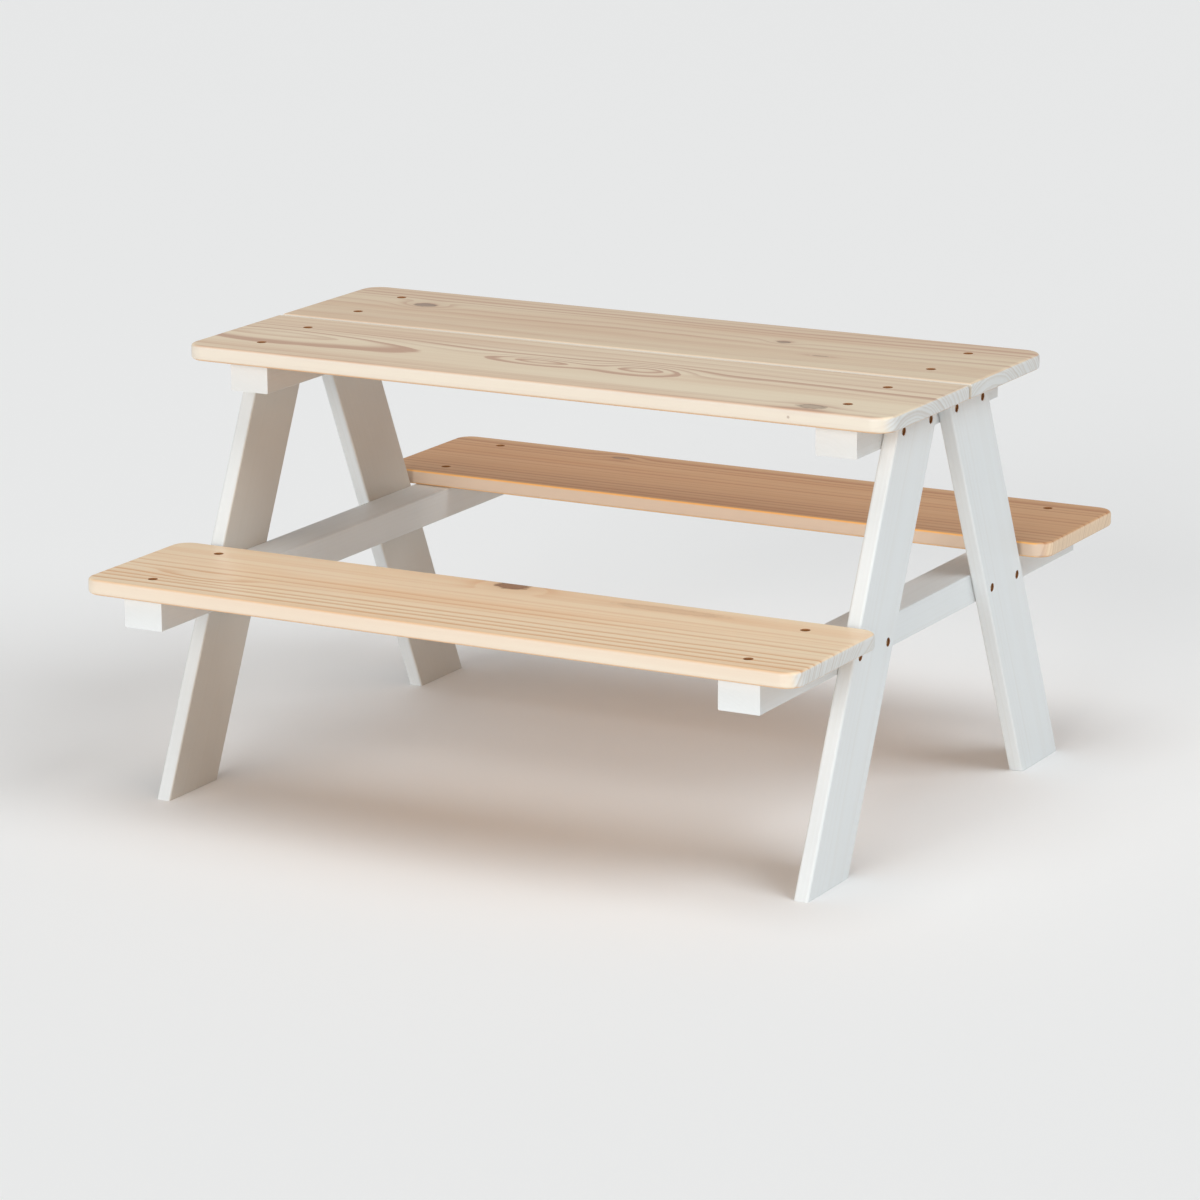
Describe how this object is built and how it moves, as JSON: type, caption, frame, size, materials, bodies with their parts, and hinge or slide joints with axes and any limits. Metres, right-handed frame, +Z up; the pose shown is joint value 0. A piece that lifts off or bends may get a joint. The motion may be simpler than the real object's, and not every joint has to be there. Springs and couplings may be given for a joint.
{
  "type": "picnic table",
  "caption": "Small children's picnic table: pine top boards and attached bench boards on two white A-shaped end frames, held by sunk screws.",
  "frame": {"origin": "on the floor, under the middle of the table", "axes": "+X along the boards, +Y towards the rear bench, +Z up"},
  "size_m": [0.9, 0.86, 0.51],
  "materials": {
    "natural_pine": "clear satin lacquer on planed pine with visible grain and knots",
    "white_glazed_pine": "thin white glaze on planed pine, faint grain showing through",
    "screw_metal": "yellow passivated steel, dull"
  },
  "bodies": {
    "root": {"table_board_front": "natural_pine", "table_board_rear": "natural_pine", "bench_board_front": "natural_pine", "bench_board_rear": "natural_pine", "top_rail_left": "white_glazed_pine", "top_rail_right": "white_glazed_pine", "seat_rail_left": "white_glazed_pine", "seat_rail_right": "white_glazed_pine", "leg_front_left": "white_glazed_pine", "leg_front_right": "white_glazed_pine", "leg_rear_left": "white_glazed_pine", "leg_rear_right": "white_glazed_pine", "table_screws_front_left": "screw_metal", "table_screws_front_right": "screw_metal", "table_screws_rear_left": "screw_metal", "table_screws_rear_right": "screw_metal", "bench_screws_front_left": "screw_metal", "bench_screws_front_right": "screw_metal", "bench_screws_rear_left": "screw_metal", "bench_screws_rear_right": "screw_metal", "leg_top_screws_front_left": "screw_metal", "leg_top_screws_front_right": "screw_metal", "leg_top_screws_rear_left": "screw_metal", "leg_top_screws_rear_right": "screw_metal", "leg_seat_screws_front_left": "screw_metal", "leg_seat_screws_front_right": "screw_metal", "leg_seat_screws_rear_left": "screw_metal", "leg_seat_screws_rear_right": "screw_metal"}
  },
  "joints": []
}
